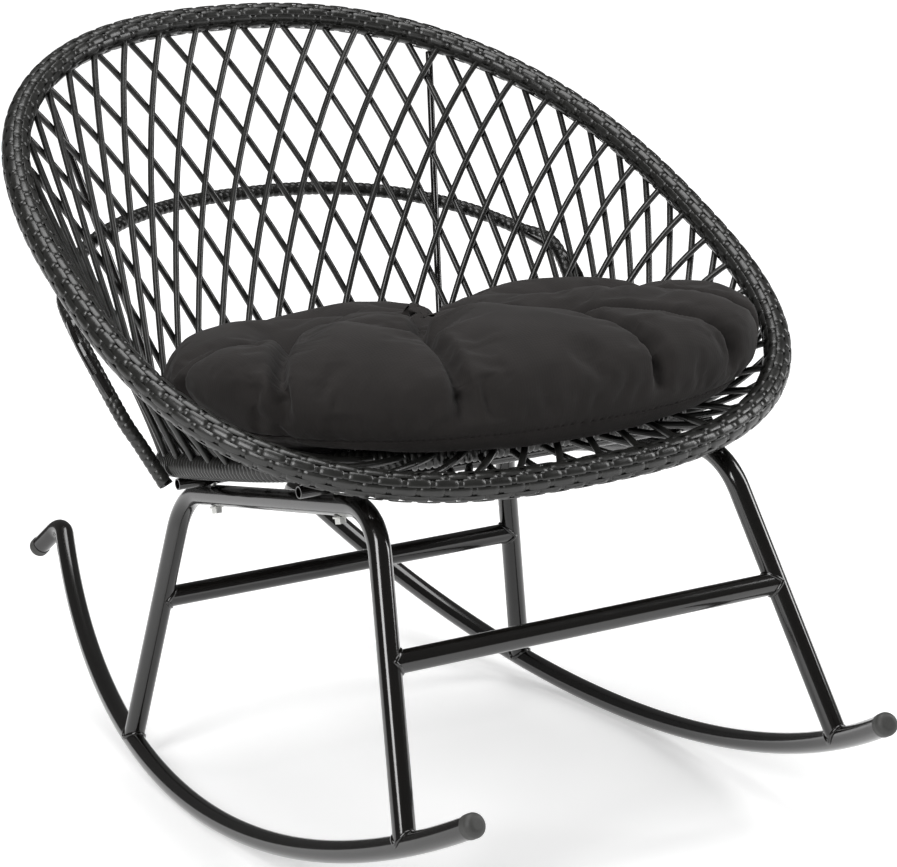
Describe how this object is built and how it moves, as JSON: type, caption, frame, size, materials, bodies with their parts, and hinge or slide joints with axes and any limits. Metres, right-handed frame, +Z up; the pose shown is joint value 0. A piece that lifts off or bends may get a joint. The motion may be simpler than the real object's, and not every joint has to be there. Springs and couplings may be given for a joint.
{
  "type": "rattan rocking chair",
  "caption": "Rocking chair with a round lattice bowl seat of black synthetic rattan, a loose tufted cushion and a bent-tube steel rocker base.",
  "frame": {"origin": "floor level, in the middle of the chair's outline seen from above", "axes": "+Z up, +Y from the front of the seat to its back, +X across the seat"},
  "size_m": [0.7522, 1.1158, 0.7679],
  "materials": {
    "powder_coat": "gloss",
    "zinc": "zinc plated",
    "end_cap": "matte",
    "rattan": "satin",
    "cushion": "woven cloth"
  },
  "bodies": {
    "chair": {"rocker_left": "powder_coat", "rocker_right": "powder_coat", "side_frame_left": "powder_coat", "side_frame_right": "powder_coat", "front_crossbar": "powder_coat", "rear_crossbar": "powder_coat", "seat_rail_front": "powder_coat", "seat_rail_rear": "powder_coat", "base_ring_tube": "powder_coat", "rim_tube": "powder_coat", "back_hoop_rod": "powder_coat", "back_strut_left": "powder_coat", "back_strut_right": "powder_coat", "front_stay_left": "powder_coat", "front_stay_right": "powder_coat", "seat_bolts": "zinc", "seat_washers": "zinc", "rail_inserts": "zinc", "front_cap_left": "end_cap", "front_cap_right": "end_cap", "rear_cap_left": "end_cap", "rear_cap_right": "end_cap", "base_ring_wrap": "rattan", "rim_weave": "rattan", "back_hoop_wrap": "rattan", "seat_strips_cross": "rattan", "seat_strips_long": "rattan", "lattice_panel_01": "rattan", "lattice_panel_02": "rattan", "lattice_panel_03": "rattan", "lattice_panel_04": "rattan", "lattice_panel_05": "rattan", "lattice_panel_06": "rattan", "lattice_panel_07": "rattan", "lattice_panel_08": "rattan", "lattice_panel_09": "rattan", "lattice_panel_10": "rattan"},
    "cushion": {"seat_cushion": "cushion"}
  },
  "joints": [
    {"name": "cushion_lift", "type": "slide", "parent": "chair", "child": "cushion", "axis": [0, 0, 1], "range_m": [0, 0.4]}
  ]
}
